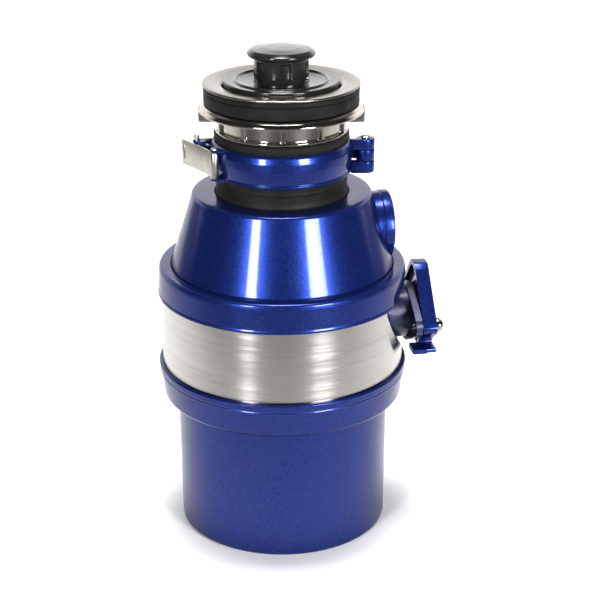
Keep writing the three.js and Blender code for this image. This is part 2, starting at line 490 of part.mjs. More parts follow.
node("rectifier", box(14, 44, -40, -12, FLOOR + GAP, 13), 0x1c1c1e, 0.5, 0);

export default group;
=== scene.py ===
import json
import math
import random

import bmesh
import bpy
from mathutils import Matrix, Vector


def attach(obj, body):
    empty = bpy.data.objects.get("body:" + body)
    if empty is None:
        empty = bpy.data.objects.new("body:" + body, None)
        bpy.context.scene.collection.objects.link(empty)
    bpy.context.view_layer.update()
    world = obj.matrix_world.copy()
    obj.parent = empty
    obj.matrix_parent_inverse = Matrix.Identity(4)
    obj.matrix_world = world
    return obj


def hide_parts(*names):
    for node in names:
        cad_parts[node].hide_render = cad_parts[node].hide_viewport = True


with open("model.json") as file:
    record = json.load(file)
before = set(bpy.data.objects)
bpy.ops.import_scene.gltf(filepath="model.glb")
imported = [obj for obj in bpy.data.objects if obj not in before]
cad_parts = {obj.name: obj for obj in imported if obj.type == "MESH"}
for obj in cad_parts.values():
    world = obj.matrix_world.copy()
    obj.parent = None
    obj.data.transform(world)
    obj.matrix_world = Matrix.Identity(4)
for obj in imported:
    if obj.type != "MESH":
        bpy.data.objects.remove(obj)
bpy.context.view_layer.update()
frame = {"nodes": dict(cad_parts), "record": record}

MM = 0.001
NODE_BODY = {n: b for b, ns in frame["record"]["behaviour"]["bodies"].items() for n in ns}
NODE_SLOT = {s["node"]: s["material_slot"] for s in frame["record"]["subparts"]}
TURN = math.radians(-10)  # clamp hinge, latch and nut wings, round from +X


def lin(r, g, b):
    def f(c):
        c /= 255.0
        return c / 12.92 if c <= 0.04045 else ((c + 0.055) / 1.055) ** 2.4
    return (f(r), f(g), f(b), 1.0)


# ------------------------------------------------------------------ materials
class Mat:
    """A node material with small helpers for its procedural detail."""

    def __init__(self, name):
        self.m = bpy.data.materials.new(name)
        self.m.use_nodes = True
        self.nt = self.m.node_tree
        self.b = self.nt.nodes["Principled BSDF"]
        self.tc = self.nt.nodes.new("ShaderNodeTexCoord")

    def set(self, **kw):
        for k, v in kw.items():
            self.b.inputs[k.replace("_", " ")].default_value = v

    def node(self, kind, **kw):
        n = self.nt.nodes.new(kind)
        for k, v in kw.items():
            if k in n.inputs:
                n.inputs[k].default_value = v
            else:
                setattr(n, k, v)
        return n

    def link(self, a, b):
        self.nt.links.new(a, b)

    def noise(self, scale, detail=3.0, rough=0.5, vector=None, **kw):
        n = self.node("ShaderNodeTexNoise", Scale=scale, Detail=detail, Roughness=rough)
        self.link(vector if vector is not None else self.tc.outputs["Object"], n.inputs["Vector"])
        return n.outputs["Fac"]

    def ramp(self, fac, stops):
        r = self.node("ShaderNodeValToRGB")
        e = r.color_ramp.elements
        while len(e) < len(stops):
            e.new(0.5)
        for el, (p, c) in zip(e, stops):
            el.position = p
            el.color = c if len(c) == 4 else (*c, 1)
        self.link(fac, r.inputs["Fac"])
        return r.outputs["Color"]

    def range(self, fac, lo, hi, a=0.0, b=1.0):
        r = self.node("ShaderNodeMapRange")
        r.inputs["From Min"].default_value = a
        r.inputs["From Max"].default_value = b
        r.inputs["To Min"].default_value = lo
        r.inputs["To Max"].default_value = hi
        self.link(fac, r.inputs["Value"])
        return r.outputs["Result"]

    def mix(self, fac, a, b, mode="MIX"):
        m = self.node("ShaderNodeMix", data_type="RGBA", blend_type=mode)
        if isinstance(fac, float):
            m.inputs["Factor"].default_value = fac
        else:
            self.link(fac, m.inputs["Factor"])
        for s, v in (("A", a), ("B", b)):
            i = [x for x in m.inputs if x.name == s and x.type == "RGBA"][0]
            if isinstance(v, tuple):
                i.default_value = v
            else:
                self.link(v, i)
        return [x for x in m.outputs if x.type == "RGBA"][0]

    def math(self, op, a, b=None):
        n = self.node("ShaderNodeMath", operation=op)
        for i, v in enumerate((a, b)):
            if v is None:
                continue
            if isinstance(v, (int, float)):
                n.inputs[i].default_value = v
            else:
                self.link(v, n.inputs[i])
        return n.outputs[0]

    def bump(self, height, strength, distance=0.0002, prev=None):
        n = self.node("ShaderNodeBump", Strength=strength, Distance=distance)
        self.link(height, n.inputs["Height"])
        if prev is not None:
            self.link(prev, n.inputs["Normal"])
        return n.outputs["Normal"]

    def wrapped(self, around, along):
        """Coordinates that run round the Z axis: (angle * around, z * along, r * along)."""
        s = self.node("ShaderNodeSeparateXYZ")
        self.link(self.tc.outputs["Object"], s.inputs[0])
        ang = self.math("ARCTAN2", s.outputs["Y"], s.outputs["X"])
        rad = self.math("SQRT", self.math("ADD", self.math("MULTIPLY", s.outputs["X"], s.outputs["X"]), self.math("MULTIPLY", s.outputs["Y"], s.outputs["Y"])))
        c = self.node("ShaderNodeCombineXYZ")
        self.link(self.math("MULTIPLY", ang, around), c.inputs[0])
        self.link(self.math("MULTIPLY", s.outputs["Z"], along), c.inputs[1])
        self.link(self.math("MULTIPLY", rad, along), c.inputs[2])
        return c.outputs[0]

    def to(self, out, socket):
        self.link(out, self.b.inputs[socket])


def blue_paint():
    m = Mat("blue_paint")
    m.set(Metallic=0.72, Roughness=0.34, IOR=1.5)
    m.b.inputs["Specular Tint"].default_value = (0.09, 0.12, 0.28, 1.0)
    m.b.inputs["Coat Weight"].default_value = 0.62
    m.b.inputs["Coat Roughness"].default_value = 0.085
    m.b.inputs["Coat IOR"].default_value = 1.38
    flake = m.node("ShaderNodeTexVoronoi", Scale=1500.0)
    m.link(m.tc.outputs["Object"], flake.inputs["Vector"])
    hue = m.ramp(flake.outputs["Color"], [(0.0, (0.005, 0.013, 0.098)), (0.55, (0.008, 0.020, 0.140)), (1.0, (0.016, 0.038, 0.215))])
    broad = m.noise(9.0, 3.0)
    col = m.mix(m.range(broad, 0.0, 0.15, 0.35, 0.7), hue, (0.005, 0.013, 0.105, 1.0))
    m.to(col, "Base Color")
    m.to(m.range(m.noise(60.0, 4.0), 0.28, 0.31, 0.3, 0.7), "Roughness")
    peel = m.noise(420.0, 2.0)
    fl = m.bump(flake.outputs["Distance"], 0.10, 0.0002)
    m.to(m.bump(peel, 0.05, 0.0002, fl), "Normal")
    m.link(m.bump(peel, 0.035, 0.0002), m.b.inputs["Coat Normal"])
    return m.m


def dark_casting():
    m = Mat("dark_casting")
    m.set(Metallic=0.35, Roughness=0.42)
    m.b.inputs["Coat Weight"].default_value = 0.5
    m.b.inputs["Coat Roughness"].default_value = 0.15
    col = m.ramp(m.noise(35.0, 4.0), [(0.3, (0.003, 0.005, 0.030)), (0.7, (0.006, 0.011, 0.065))])
    m.to(col, "Base Color")
    m.to(m.range(m.noise(250.0, 3.0), 0.34, 0.52, 0.3, 0.7), "Roughness")
    m.to(m.bump(m.noise(900.0, 2.0), 0.18, 0.0002), "Normal")
    return m.m


def brushed(name, base, rough, aniso, around=3.0, along=1600.0, depth=0.12):
    m = Mat(name)
    m.set(Metallic=1.0, Roughness=rough)
    m.b.inputs["Anisotropic"].default_value = aniso
    m.b.inputs["Anisotropic Rotation"].default_value = 0.25
    if aniso > 0:
        t = m.node("ShaderNodeTangent", direction_type="RADIAL", axis="Z")
        m.link(t.outputs[0], m.b.inputs["Tangent"])
    v = m.wrapped(around, along)
    fine = m.noise(1.0, 5.0, 0.65, v)
    coarse = m.noise(0.23, 3.0, 0.5, v)
    dark = tuple(c * 0.90 for c in base[:3]) + (1.0,)
    light = tuple(min(1.0, c * 1.08) for c in base[:3]) + (1.0,)
    m.to(m.ramp(fine, [(0.30, dark), (0.72, light)]), "Base Color")
    m.to(m.math("ADD", m.range(coarse, rough - 0.05, rough + 0.06, 0.3, 0.7), m.range(fine, -0.03, 0.04, 0.3, 0.7)), "Roughness")
    m.to(m.bump(fine, depth, 0.00006), "Normal")
    return m.m


def chrome():
    m = Mat("chrome_plate")
    m.set(Metallic=1.0, Roughness=0.07)
    smudge = m.noise(30.0, 5.0, 0.6)
    m.to(m.ramp(smudge, [(0.25, (0.30, 0.282, 0.255)), (0.75, (0.46, 0.435, 0.40))]), "Base Color")
    m.to(m.range(m.noise(70.0, 5.0), 0.05, 0.13, 0.3, 0.75), "Roughness")
    m.to(m.bump(m.noise(130.0, 2.0), 0.05, 0.0003), "Normal")
    return m.m


def black_plastic():
    m = Mat("black_plastic")
    m.set(Roughness=0.3, IOR=1.5)
    m.b.inputs["Specular IOR Level"].default_value = 0.5
    m.to(m.ramp(m.noise(90.0, 4.0), [(0.3, (0.0065, 0.0065, 0.0070)), (0.7, (0.013, 0.013, 0.0135))]), "Base Color")
    m.to(m.range(m.noise(160.0, 5.0), 0.10, 0.21, 0.3, 0.72), "Roughness")
    fine = m.bump(m.noise(2600.0, 2.0), 0.07, 0.0001)
    m.to(m.bump(m.noise(500.0, 3.0), 0.05, 0.0002, fine), "Normal")
    return m.m


def rubber(name="black_rubber", tone=1.0, rough=(0.48, 0.66)):
    m = Mat(name)
    m.set(Roughness=0.6, IOR=1.32)
    m.b.inputs["Specular IOR Level"].default_value = 0.22
    m.b.inputs["Sheen Weight"].default_value = 0.02
    m.b.inputs["Sheen Roughness"].default_value = 0.4
    m.to(m.ramp(m.noise(60.0, 4.0), [(0.3, (0.004 * tone, 0.004 * tone, 0.0042 * tone)), (0.7, (0.011 * tone, 0.0105 * tone, 0.0098 * tone))]), "Base Color")
    m.to(m.range(m.noise(140.0, 4.0), rough[0], rough[1], 0.3, 0.7), "Roughness")
    ribs = m.noise(1.0, 3.0, 0.5, m.wrapped(14.0, 700.0))
    m.to(m.bump(m.noise(1800.0, 2.0), 0.25, 0.00015, m.bump(ribs, 0.10, 0.0002)), "Normal")
    return m.m


def metal(name, lo, hi, rough=(0.28, 0.42), metallic=1.0, scale=120.0, bump=0.12):
    m = Mat(name)
    m.set(Metallic=metallic)
    m.to(m.ramp(m.noise(scale, 4.0), [(0.3, lo), (0.7, hi)]), "Base Color")
    m.to(m.range(m.noise(scale * 2.3, 4.0), rough[0], rough[1], 0.3, 0.7), "Roughness")
    m.to(m.bump(m.noise(scale * 8.0, 2.0), bump, 0.0001), "Normal")
    return m.m


MATS = {
    "blue_paint": blue_paint(),
    "dark_casting": dark_casting(),
    "stainless": metal("stainless", (0.50, 0.50, 0.49), (0.66, 0.66, 0.65), (0.20, 0.34)),
    "chrome_plate": chrome(),
    "black_plastic": black_plastic(),
    "black_rubber": rubber(),
    "bearing_bronze": metal("bearing_bronze", (0.40, 0.25, 0.09), (0.60, 0.42, 0.18)),
    "copper": metal("copper", (0.42, 0.16, 0.06), (0.66, 0.30, 0.14), (0.3, 0.5)),
    "electrical_steel": metal("electrical_steel", (0.10, 0.10, 0.11), (0.20, 0.20, 0.21), (0.4, 0.6)),
    "cast_aluminium": metal("cast_aluminium", (0.42, 0.42, 0.43), (0.58, 0.58, 0.59), (0.42, 0.6), bump=0.3),
    "ferrite": metal("ferrite", (0.018, 0.018, 0.02), (0.04, 0.04, 0.043), (0.55, 0.75), 0.0),
    "carbon": metal("carbon", (0.012, 0.012, 0.013), (0.03, 0.03, 0.031), (0.6, 0.8), 0.0),
    "zinc_steel": metal("zinc_steel", (0.46, 0.47, 0.49), (0.62, 0.63, 0.66), (0.3, 0.45)),
    "red_plastic": metal("red_plastic", (0.42, 0.012, 0.012), (0.56, 0.025, 0.022), (0.25, 0.35), 0.0, bump=0.04),
}
BAND = brushed("band_steel", (0.44, 0.425, 0.405, 1), 0.22, 0.88, depth=0.05)
FLANGE = brushed("flange_steel", (0.20, 0.185, 0.168, 1), 0.24, 0.3, 6.0, 900.0, 0.10)
STRAP = metal("strap_steel", (0.36, 0.345, 0.30), (0.46, 0.445, 0.40), (0.24, 0.34), scale=70.0, bump=0.06)

for name, obj in frame["nodes"].items():
    mat = MATS[NODE_SLOT[name]]
    obj.data.materials.clear()
    obj.data.materials.append(mat)


# ------------------------------------------------------------------ mesh helpers
def rounded(pts, seg=5):
    out = []
    n = len(pts)
    for i, p in enumerate(pts):
        rad = p[2] if len(p) > 2 else 0.0
        b = Vector(p[:2])
        if rad <= 0:
            out.append((b.x, b.y))
            continue
        a, c = Vector(pts[i - 1][:2]), Vector(pts[(i + 1) % n][:2])
        u, v = (a - b), (c - b)
        lu, lv = u.length, v.length
        u.normalize(), v.normalize()
        half = math.acos(max(-1, min(1, u.dot(v)))) / 2
        if half > math.radians(89) or half < 1e-4:
            out.append((b.x, b.y))
            continue
        t = min(rad / math.tan(half), 0.48 * lu, 0.48 * lv)
        r = t * math.tan(half)
        centre = b + (u + v).normalized() * (r / math.sin(half))
        s, e = b + u * t - centre, b + v * t - centre
        a0, a1 = math.atan2(s.y, s.x), math.atan2(e.y, e.x)
        d = (a1 - a0 + math.pi) % (2 * math.pi) - math.pi
        for k in range(seg + 1):
            q = a0 + d * k / seg
            out.append((centre.x + r * math.cos(q), centre.y + r * math.sin(q)))
    return out


def dense(pts, step):
    """Splits the long sides of a closed profile so that a warp can follow them."""
    out = []
    n = len(pts)
    for i in range(n):
        a, b = Vector(pts[i]), Vector(pts[(i + 1) % n])
        k = max(1, int(math.ceil((b - a).length / step)))
        for j in range(k):
            q = a.lerp(b, j / k)
            out.append((q.x, q.y))
    return out


def obj_from(bm, name, mat, sharp=34.0):
    bmesh.ops.remove_doubles(bm, verts=bm.verts, dist=1e-7)
    bmesh.ops.dissolve_degenerate(bm, edges=bm.edges, dist=1e-8)
    bmesh.ops.recalc_face_normals(bm, faces=bm.faces)
    me = bpy.data.meshes.new(name)
    bm.to_mesh(me)
    bm.free()
    me.materials.append(mat)
    o = bpy.data.objects.new(name, me)
    bpy.context.scene.collection.objects.link(o)
    shade(o, sharp)
    return o


def shade(o, sharp=34.0):
    for p in o.data.polygons:
        p.use_smooth = True
    o.data.set_sharp_from_angle(angle=math.radians(sharp))


def apply_all(o):
    dg = bpy.context.evaluated_depsgraph_get()
    me = bpy.data.meshes.new_from_object(o.evaluated_get(dg))
    old = o.data
    o.modifiers.clear()
    o.data = me
    bpy.data.meshes.remove(old)
    return o


def bevel(o, width, seg=3, angle=32.0):
    b = o.modifiers.new("bevel", "BEVEL")
    b.width = width * MM
    b.segments = seg
    b.limit_method = "ANGLE"
    b.angle_limit = math.radians(angle)
    b.miter_outer = "MITER_ARC"
    b.harden_normals = False
    b.use_clamp_overlap = True
    apply_all(o)
    shade(o)
    return o


def boolean(o, other, op, drop=True):
    m = o.modifiers.new("bool", "BOOLEAN")
    m.operation = op
    m.solver = "EXACT"
    m.object = other
    bpy.context.view_layer.update()
    apply_all(o)
    if drop:
        bpy.data.objects.remove(other)
    return o


def lathe_bm(pts, n=192, warp=None, arc=None):
    bm = bmesh.new()
    closed = arc is None
    a0, a1 = (0.0, 2 * math.pi) if closed else arc
    rows = []
    for k in range(n if closed else n + 1):
        th = a0 + (a1 - a0) * k / n
        row = []
        for r, z in pts:
            if warp:
                r2, z2 = warp(th, r, z)
            else:
                r2, z2 = r, z
            row.append(bm.verts.new((r2 * math.cos(th) * MM, r2 * math.sin(th) * MM, z2 * MM)))
        rows.append(row)
    m = len(pts)
    cols = range(len(rows) if closed else len(rows) - 1)
    for k in cols:
        p, q = rows[k], rows[(k + 1) % len(rows)]
        for j in range(m):
            j2 = (j + 1) % m
            if pts[j][0] < 1e-6 and pts[j2][0] < 1e-6:
                continue
            try:
                bm.faces.new((p[j], q[j], q[j2], p[j2]))
            except ValueError:
                pass
    if not closed:
        bm.faces.new(rows[0])
        bm.faces.new(list(reversed(rows[-1])))
    return bm


def lathe(name, pts, mat, n=192, warp=None, arc=None, sharp=34.0):
    return obj_from(lathe_bm(pts, n, warp, arc), name, mat, sharp)


def prism(name, outline, z0, z1, mat, holes=(), axis="Z", sharp=34.0):
    """Outline in mm, pushed along an axis: (x, y) along Z, or (y, z) along X."""
    bm = bmesh.new()

    def P(u, v, w):
        return (u * MM, v * MM, w * MM) if axis == "Z" else (w * MM, u * MM, v * MM)
    edges = []
    for loop in [outline, *holes]:
        vs = [bm.verts.new(P(u, v, z0)) for u, v in loop]
        for i in range(len(vs)):
            edges.append(bm.edges.new((vs[i], vs[(i + 1) % len(vs)])))
    bmesh.ops.triangle_fill(bm, use_beauty=True, use_dissolve=False, edges=edges)
    faces = list(bm.faces)
    ext = bmesh.ops.extrude_face_region(bm, geom=faces)
    vec = Vector(P(0, 0, z1 - z0))
    bmesh.ops.translate(bm, verts=[v for v in ext["geom"] if isinstance(v, bmesh.types.BMVert)], vec=vec)
    bmesh.ops.dissolve_limit(bm, angle_limit=math.radians(0.5), verts=bm.verts, edges=bm.edges)
    return obj_from(bm, name, mat, sharp)


def circle(cx, cy, r, n=48, a0=0.0):
    return [(cx + r * math.cos(a0 + 2 * math.pi * k / n), cy + r * math.sin(a0 + 2 * math.pi * k / n)) for k in range(n)]


def transform(o, m):
    o.data.transform(m)
    return o


def turned(o, ang=TURN):
    return transform(o, Matrix.Rotation(ang, 4, "Z"))


def along_x(o, y, z):
    """A lathe made about Z, its height laid along +X, centred on (y, z)."""
    return transform(o, Matrix.Translation((0, y * MM, z * MM)) @ Matrix.Rotation(math.radians(90), 4, "Y"))


def join(objs, name):
    bm = bmesh.new()
    for o in objs:
        bm.from_mesh(o.data)
    mats = [objs[0].data.materials[0]]
    me = bpy.data.meshes.new(name)
    bm.to_mesh(me)
    bm.free()
    for mt in mats:
        me.materials.append(mt)
    for o in objs:
        bpy.data.objects.remove(o)
    o = bpy.data.objects.new(name, me)
    bpy.context.scene.collection.objects.link(o)
    shade(o)
    return o


def done(piece, node, *more):
    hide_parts(node, *more)
    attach(piece, NODE_BODY[node])
    return piece


# ------------------------------------------------------------------ stopper
PL, RB, BL, CH, SS = MATS["black_plastic"], MATS["black_rubber"], MATS["blue_paint"], MATS["chrome_plate"], MATS["stainless"]


def stopper():
    pts = rounded([
        (15.6, 336.0), (38.0, 336.0), (38.0, 339.6), (41.7, 339.6, 0.4), (41.7, 346.3, 0.5), (40.9, 346.8, 0.4),
        (34.8, 346.5, 0.6), (34.0, 347.5, 0.5), (32.9, 347.5, 0.5), (32.0, 346.2, 0.6), (26.0, 345.2, 4.0), (19.8, 344.7, 0.8),
        (19.8, 363.4, 0.9), (24.0, 364.4, 0.8), (24.7, 365.2, 0.6), (24.7, 367.0, 1.1), (21.5, 368.9, 3.0), (12.0, 370.0, 6.0),
        (0.0, 370.3), (0.0, 366.6), (15.6, 366.6),
    ], 6)
    pts = dense(pts, 1.3)

    def warp(th, r, z):
        if 19.0 < r < 19.81 and 346.4 < z < 362.0:
            k = (th / (2 * math.pi) * 6) % 1.0
            a = abs(k - 0.5) * 2 * math.pi / 6 * 19.8  # mm from the flute's middle... round the post
            edge = max(0.0, min(1.0, (3.9 - a) / 0.9))
            end = max(0.0, min(1.0, min(z - 346.9, 361.3 - z) / 0.9))
            s = edge * edge * (3 - 2 * edge) * end * end * (3 - 2 * end)
            return r - 1.9 * s, z
        return r, z
    return done(lathe("stopper_cover", pts, PL, 288, warp), "stopper")


def simple_lathes():
    done(lathe("stopper_ring_seal", rounded([(38.5, 334.6, 0.5), (41.3, 334.6, 0.5), (41.9, 336.0, 0.5), (41.9, 339.2, 0.5), (38.5, 339.2)], 4), RB, 144), "stopper_seal")
    done(lathe("sink_flange_fine", rounded([
        (44.0, 285.2, 0.3), (44.0, 342.4, 1.2), (45.2, 343.4), (56.6, 343.4, 0.3), (57.15, 343.9, 0.4), (57.15, 344.6, 0.5), (56.4, 345.1, 0.5),
        (53.6, 345.1, 1.5), (44.4, 344.2, 1.5), (42.4, 342.2, 1.6), (42.4, 334.2, 0.3), (38.8, 334.2, 0.4), (38.8, 332.4, 0.4), (42.4, 332.4), (42.4, 285.2, 0.3),
    ], 5), FLANGE, 192), "sink_flange")
    done(lathe("sink_gasket_upper_fine", rounded([(44.5, 339.5), (56.6, 339.5, 0.8), (56.6, 343.0, 0.8), (46.5, 343.0), (44.5, 341.6)], 5), RB, 160), "sink_gasket_upper")
    done(lathe("sink_gasket_lower_fine", rounded([(44.5, 330.4), (56.3, 330.4, 0.9), (56.3, 339.1, 0.7), (44.5, 339.1)], 5), RB, 160), "sink_gasket_lower")
    done(lathe("cushion_sleeve", rounded([
        (40.2, 251.0), (60.6, 252.8, 0.6), (60.6, 259.0, 0.6), (48.9, 259.0), (48.9, 264.6, 0.6), (48.2, 267.2, 1.0), (47.9, 272.6, 0.8),
        (48.3, 273.6, 0.4), (48.3, 274.6, 0.4), (47.9, 275.6, 0.8), (48.2, 282.2), (49.4, 283.8), (49.4, 299.2), (48.5, 300.8), (48.5, 303.5), (49.3, 304.3, 0.4), (49.3, 309.0, 0.9), (44.5, 309.0), (44.5, 281.6), (40.2, 281.6),
    ], 5), RB, 192), "cushion_mount")
    done(lathe("motor_cup", rounded([
        (0.0, 0.0), (76.8, 0.0, 2.6), (79.2, 1.6, 1.6), (79.3, 8.0), (80.2, 98.0), (80.2, 124.0), (89.0, 124.0), (89.0, 127.4), (77.4, 127.4), (76.4, 6.0), (74.6, 4.0), (0.0, 4.0),
    ], 6), BL, 224), "motor_housing")


# ------------------------------------------------------------------ mounting nut
def nut():
    pts = dense(rounded([
        (44.5, 309.5), (47.2, 309.5, 0.5), (48.3, 310.3, 0.4), (48.2, 311.4, 0.4), (47.6, 312.1, 0.4), (47.7, 322.2, 1.2), (50.6, 323.6, 1.5), (59.3, 324.7, 0.5),
        (60.2, 325.1, 0.4), (60.2, 326.3, 0.9), (58.9, 328.5, 1.5), (56.6, 329.9, 0.8), (55.6, 330.0), (44.5, 330.0),
    ], 5), 1.6)
    ribs = [math.radians(a) + TURN for a in (-18, -52, -88, -124, -160, 160, 124, 88, 52, 18)]

    def warp(th, r, z):
        if 46.9 < r < 49.5 and 311.6 < z < 323.4:
            d = min(abs((th - a + math.pi) % (2 * math.pi) - math.pi) for a in ribs) * 47.7
            w = max(0.0, min(1.0, (2.2 - d) / 0.7))
            s = w * w * (3 - 2 * w)
            fade = max(0.0, min(1.0, (323.4 - z) / 1.2)) * max(0.0, min(1.0, (z - 311.6) / 0.6))
            return r - 1.9 * fade * (1 - s) + 0.2 * s, z
        return r, z
    body = lathe("nut_body", pts, CH, 576, warp)
    parts = [body]
    for a in (TURN, TURN + math.pi):
        w = prism("wing", [(46.4, -3.4), (48.0, -4.3), (59.0, -4.5), (60.3, -3.4), (60.3, 3.4), (59.0, 4.5), (48.0, 4.3), (46.4, 3.4)], 315.8, 325.2, CH)
        bevel(w, 0.9, 4)
        transform(w, Matrix.Rotation(a, 4, "Z"))
        parts.append(w)
    return done(join(parts, "mounting_nut_fine"), "mounting_nut")


# ------------------------------------------------------------------ clamp
def clamp():
    prof = rounded([
        (48.9, 279.4), (50.6, 279.4, 0.5), (51.0, 280.2, 0.5), (50.9, 281.2, 0.4), (50.35, 282.0, 0.6), (51.15, 285.6, 9.0), (52.0, 291.8, 10.0),
        (51.8, 297.4, 8.0), (50.7, 301.6, 3.0), (49.6, 303.1, 0.6), (48.9, 303.1), (48.9, 301.4), (49.9, 299.8), (49.9, 283.2), (48.9, 281.6),
    ], 6)
    g = 0.5 / 52.0
    for side, name in ((-1, "clamp_front_half"), (1, "clamp_rear_half")):
        arc = (math.pi + g, 2 * math.pi - g) if side < 0 else (g, math.pi - g)
        ring = lathe(name + "_ring", prof, BL, 120, arc=arc)
        parts = [ring]

        def knuckle(z0, z1):
            y0 = -6.8 if side < 0 else 0.8
            y1 = y0 + 6.0
            out = []
            # rounded lug round the pin, joined to the ring by a web
            n = 20
            if side < 0:
                arc_pts = [(61 + 6.8 * math.cos(t), 6.8 * math.sin(t)) for t in [math.radians(-90 + 270 * k / n) for k in range(n + 1)]]
                out = [(50.4, -6.6)] + arc_pts + [(54.4, -0.8), (50.4, -0.8)]
            else:
                arc_pts = [(61 + 6.8 * math.cos(t), 6.8 * math.sin(t)) for t in [math.radians(180 - 270 * k / n + 0) for k in range(n + 1)]]
                arc_pts = [(61 + 6.8 * math.cos(t), 6.8 * math.sin(t)) for t in [math.radians(-180 + 270 * k / n) for k in range(n + 1)]]
                out = [(50.4, 0.8), (54.4, 0.8)] + arc_pts + [(50.4, 6.6)]
            k = prism("knuckle", out, z0, z1, BL, holes=[circle(61, 0, 2.7, 24)])
            bevel(k, 0.7, 3, 40)
            return k
        if side < 0:
            parts += [knuckle(278.0, 286.8), knuckle(295.6, 303.1)]
            # casting ribs that face forward between the two lugs
            for z0, z1 in ((279.6, 281.2), (300.6, 302.2)):
                a, b = [(50.6 * math.cos(math.radians(t)), 50.6 * math.sin(math.radians(t))) for t in (204.5, 218.5)]
                px, py = -47.6, -29.2
                e = prism("ear", [a, (px - 2.0, py + 2.6), (px - 2.9, py - 0.4), (px - 0.4, py - 2.9), (px + 2.4, py - 1.9), b], z0, z1, BL, holes=[circle(px, py, 1.6, 16)])
                bevel(e, 0.3, 2)
                parts.append(e)
            blk = prism("latch_block", [(-57.6, -6.2), (-50.4, -6.2), (-51.6, -0.8), (-57.6, -0.8)], 284.0, 298.6, BL)
            bevel(blk, 0.9, 3)
            stud = prism("stud", circle(-57.4, -3.5, 2.7, 24), 284.0, 301.5, BL)
            bevel(stud, 0.6, 3)
            parts += [blk, stud]
        else:
            parts += [knuckle(287.2, 295.2)]
            for z0, z1 in ((282.0, 284.0), (298.0, 300.0)):
                e = prism("lug", [(-49.9, 10.6), (-63.5, 8.2), (-65.2, 5.4), (-64.2, 2.4), (-61.6, 1.6), (-51.4, 1.0)], z0, z1, BL, holes=[circle(-62, 5, 2.4, 20)])
                bevel(e, 0.35, 2)
                parts.append(e)
            blk = prism("lug_back", [(-53.4, 1.0), (-51.2, 1.0), (-50.4, 9.0), (-53.4, 9.0)], 282.0, 300.0, BL)
            bevel(blk, 0.4, 2)
            parts.append(blk)
        o = turned(join(parts, name + "_fine"))
        done(o, name)

    def pin(name, cx, cy, pts, node, mat=SS):
        o = lathe(name, rounded(pts, 4), mat, 40)
        transform(o, Matrix.Translation((cx * MM, cy * MM, 0)))
        done(turned(o), node)
    pin("hinge_pin_fine", 61, 0, [(0, 276.6), (1.8, 276.6, 0.3), (2.2, 277.2, 0.2), (2.2, 303.6), (3.6, 303.6, 0.4), (3.4, 305.0, 0.8), (0, 305.8)], "clamp_hinge_pin")
    pin("keeper_pin_fine", -62, 5, [(0, 280.4), (2.0, 280.4, 0.5), (2.0, 304.0, 0.7), (0, 304.0)], "latch_keeper_pin")
    pin("pivot_pin_fine", -47.6, -29.2, [(0, 278.4), (1.2, 278.4, 0.3), (1.2, 302.6), (2.4, 302.6, 0.2), (2.2, 303.6, 0.5), (0, 304.0)], "latch_pivot_pin")


def latch():
    T = 1.5
    a, b, c = Vector((-47.2, -32.0)), Vector((-56.4, -16.6)), Vector((-73.2, 6.6))
    # centre line with a rounded bend, offset inwards by the thickness
    path = []
    for k in range(9):
        path.append(a.lerp(b, k / 8 * 0.93))
    for k in range(1, 8):
        t = k / 8
        p0, p1, p2 = a.lerp(b, 0.93), b, b.lerp(c, 0.06)
        path.append((1 - t) ** 2 * p0 + 2 * t * (1 - t) * p1 + t * t * p2)
    for k in range(12):
        path.append(b.lerp(c, 0.06 + 0.94 * k / 11))
    outer, inner = [], []
    for i, p in enumerate(path):
        d = (path[min(i + 1, len(path) - 1)] - path[max(i - 1, 0)]).normalized()
        n = Vector((d.y, -d.x))
        outer.append(p)
        inner.append(p + n * T)
    outline = [(p.x, p.y) for p in outer] + [(p.x, p.y) for p in reversed(inner)]
    strap = prism("strap", outline, 281.6, 300.2, STRAP)
    bevel(strap, 0.35, 3, 50)
    barrel = prism("barrel", circle(-47.6, -29.2, 2.9, 36), 281.6, 300.2, STRAP, holes=[circle(-47.6, -29.2, 1.6, 24)])
    bevel(barrel, 0.3, 2, 50)
    P, K = Vector((-47.6, -29.2)), Vector((-62.0, 5.0))
    r = (K - P).length
    u = (K - P).normalized()
    v = Vector((u.y, -u.x))
    at = lambda s, t: tuple(P + u * s + v * t)
    hook = prism("hook", [at(r + 2.6, 2.6), at(r + 5.0, 1.6), at(r + 6.0, -9.5), at(r + 2.6, -9.5)], 286.0, 296.0, STRAP)
    bevel(hook, 0.35, 2, 50)
    return done(turned(join([strap, barrel, hook], "latch_strap")), "latch_lever")


# ------------------------------------------------------------------ hopper, collars and band
def hopper():
    pts = rounded([
        (89.5, 195.4), (89.5, 201.0), (82.7, 201.0), (82.7, 209.4, 2.0), (67.2, 259.4, 0.1), (66.0, 264.0, 3.4), (49.4, 264.0, 0.7), (49.4, 259.4),
        (63.0, 259.4), (74.6, 219.8), (70.6, 217.5), (70.6, 214.5), (75.0, 214.5), (75.0, 195.4),
    ], 7)
    body = lathe("hopper_shell", pts, BL, 224)
    boss = lathe("boss", rounded([
        (0, 55), (25.2, 55), (25.2, 73.2, 0.6), (26.0, 74.0, 0.5), (26.0, 80.0, 1.3), (24.6, 81.0, 0.6), (12.6, 81.0, 0.5), (12.2, 79.9, 0.4), (11.0, 79.9, 0.4), (11.0, 70.0), (0, 70.0),
    ], 5), BL, 144)
    boss = along_x(boss, 0, 232.5)
    # the part of the boss inside the hopper is cut away by the hopper's inner face
    inner = lathe("inner", [(0, 190), (75.0, 190), (75.0, 214.5), (70.6, 214.5), (70.6, 217.5), (74.6, 219.8), (63.0, 259.4), (49.4, 259.4), (49.4, 275), (0, 275)], BL, 224)
    boolean(boss, inner, "DIFFERENCE")
    boolean(body, boss, "UNION")
    shade(body, 30)
    return done(body, "upper_housing")


